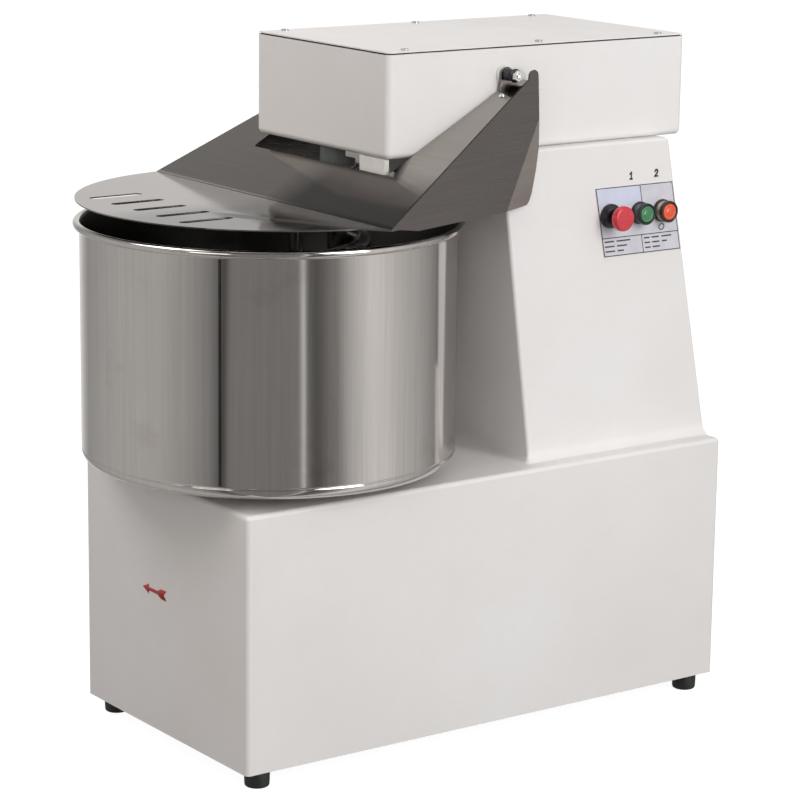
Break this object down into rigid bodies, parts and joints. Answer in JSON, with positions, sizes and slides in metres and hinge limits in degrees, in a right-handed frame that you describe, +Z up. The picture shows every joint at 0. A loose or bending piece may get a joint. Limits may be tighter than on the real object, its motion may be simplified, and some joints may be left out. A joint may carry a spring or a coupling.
{
  "type": "spiral dough mixer",
  "caption": "Floor-standing spiral dough mixer: a box base and leaning column carry a fixed head, a turning steel bowl with a spiral and breaker bar, and a hinged slotted guard.",
  "frame": {"origin": "on the floor under the middle of the machine's whole footprint, guard and bowl included", "axes": "+Z up; the bowl and the guard's opening edge face -Y; the buttons face +X; the service panel faces +Y"},
  "size_m": [0.51, 0.797, 0.8448],
  "materials": {
    "white_paint": "smooth satin powder coat, warm white",
    "stainless": "satin stainless sheet with fine brushing",
    "machined_steel": "turned and milled steel, lightly oiled",
    "frame_iron": "primed structural steel and castings",
    "black_rubber": "matt black moulded rubber",
    "black_plastic": "fine-grained black moulding",
    "grey_plastic": "grey moulding",
    "white_plastic": "off-white moulding",
    "red_plastic": "glossy red moulding",
    "green_plastic": "glossy green moulding",
    "orange_plastic": "glossy orange-red moulding",
    "label_film": "pale printed film",
    "copper_iron": "copper windings in a steel core"
  },
  "bodies": {
    "machine_frame": {"base_shell": "white_paint", "base_floor": "frame_iron", "rubber_feet": "black_rubber", "foot_bolts": "machined_steel", "chassis_plates": "frame_iron", "hub_plate": "frame_iron", "lower_crossmember": "frame_iron", "gearbox_shelf": "frame_iron", "head_plate": "frame_iron", "column_shell": "white_paint", "rear_panel": "white_paint", "rear_panel_screws": "machined_steel", "head_shell": "white_paint", "cover_seal": "black_rubber", "top_cover": "white_paint", "cover_screws": "machined_steel", "bowl_bearing_housing": "frame_iron", "bowl_bearings": "machined_steel", "shaft_seals": "black_rubber", "spiral_bearing_housing": "frame_iron", "spiral_bearings": "machined_steel", "main_shaft_bearings": "machined_steel", "gearbox_housing": "frame_iron", "gearbox_cover": "frame_iron", "small_bearings": "machined_steel", "motor_housing": "frame_iron", "motor_stator": "copper_iron", "motor_fan_cover": "black_plastic", "head_chain": "machined_steel", "bowl_chain": "machined_steel", "breaker_bar": "stainless", "frame_bolts": "machined_steel", "control_label": "label_film", "button_bodies": "black_plastic", "contact_blocks": "grey_plastic", "estop_body": "black_plastic", "electrical_box": "grey_plastic", "cable_gland": "black_plastic", "guard_sensor": "white_plastic", "hinge_bushes": "white_plastic"},
    "bowl_body": {"bowl": "stainless", "bowl_base_plate": "frame_iron", "bowl_shaft": "machined_steel", "bowl_sprocket": "machined_steel"},
    "spiral_body": {"spiral_tool": "stainless", "spiral_shaft": "machined_steel", "spiral_sprocket": "machined_steel"},
    "main_shaft_body": {"main_shaft": "machined_steel", "output_gear": "machined_steel", "bowl_drive_sprocket": "machined_steel", "head_drive_sprocket": "machined_steel"},
    "layshaft_body": {"layshaft": "machined_steel"},
    "motor_body": {"motor_rotor": "machined_steel"},
    "guard_body": {"guard": "stainless", "hinge_pins": "black_plastic"},
    "estop_plunger": {"estop_stem": "black_plastic"},
    "estop_knob": {"estop_head": "red_plastic"},
    "start_button": {"start_cap": "green_plastic"},
    "stop_button": {"stop_cap": "orange_plastic"}
  },
  "joints": [
    {"name": "bowl_spin", "type": "hinge", "parent": "machine_frame", "child": "bowl_body", "pos_m": [0, -0.1645, 0.35], "axis": [0, 0, 1], "continuous": true},
    {"name": "main_spin", "type": "hinge", "parent": "machine_frame", "child": "main_shaft_body", "pos_m": [0, 0.1858, 0.4], "axis": [0, 0, 1], "continuous": true},
    {"name": "spiral_spin", "type": "hinge", "parent": "machine_frame", "child": "spiral_body", "pos_m": [0, -0.0555, 0.7], "axis": [0, 0, 1], "continuous": true},
    {"name": "layshaft_spin", "type": "hinge", "parent": "machine_frame", "child": "layshaft_body", "pos_m": [0.0601, 0.2459, 0.48], "axis": [0, 0, 1], "continuous": true},
    {"name": "motor_spin", "type": "hinge", "parent": "machine_frame", "child": "motor_body", "pos_m": [0.02105, 0.29244, 0.3], "axis": [0, 0, 1], "continuous": true},
    {"name": "guard_open", "type": "hinge", "parent": "machine_frame", "child": "guard_body", "pos_m": [0, 0.0755, 0.809], "axis": [-1, 0, 0], "range_deg": [0, 60]},
    {"name": "estop_push", "type": "slide", "parent": "machine_frame", "child": "estop_plunger", "axis": [-1, 0, 0], "range_m": [0, 0.004]},
    {"name": "estop_twist", "type": "hinge", "parent": "estop_plunger", "child": "estop_knob", "pos_m": [0.18, 0.2305, 0.628], "axis": [1, 0, 0], "range_deg": [0, 45]},
    {"name": "start_press", "type": "slide", "parent": "machine_frame", "child": "start_button", "axis": [-1, 0, 0], "range_m": [0, 0.003], "stiffness_N_per_m": 400},
    {"name": "stop_press", "type": "slide", "parent": "machine_frame", "child": "stop_button", "axis": [-1, 0, 0], "range_m": [0, 0.003], "stiffness_N_per_m": 400}
  ],
  "couplings": [
    {"joint": "main_spin", "follows": "bowl_spin", "ratio": 7.3333},
    {"joint": "spiral_spin", "follows": "bowl_spin", "ratio": 7.3333},
    {"joint": "layshaft_spin", "follows": "bowl_spin", "ratio": -29.333},
    {"joint": "motor_spin", "follows": "bowl_spin", "ratio": 102.67}
  ]
}
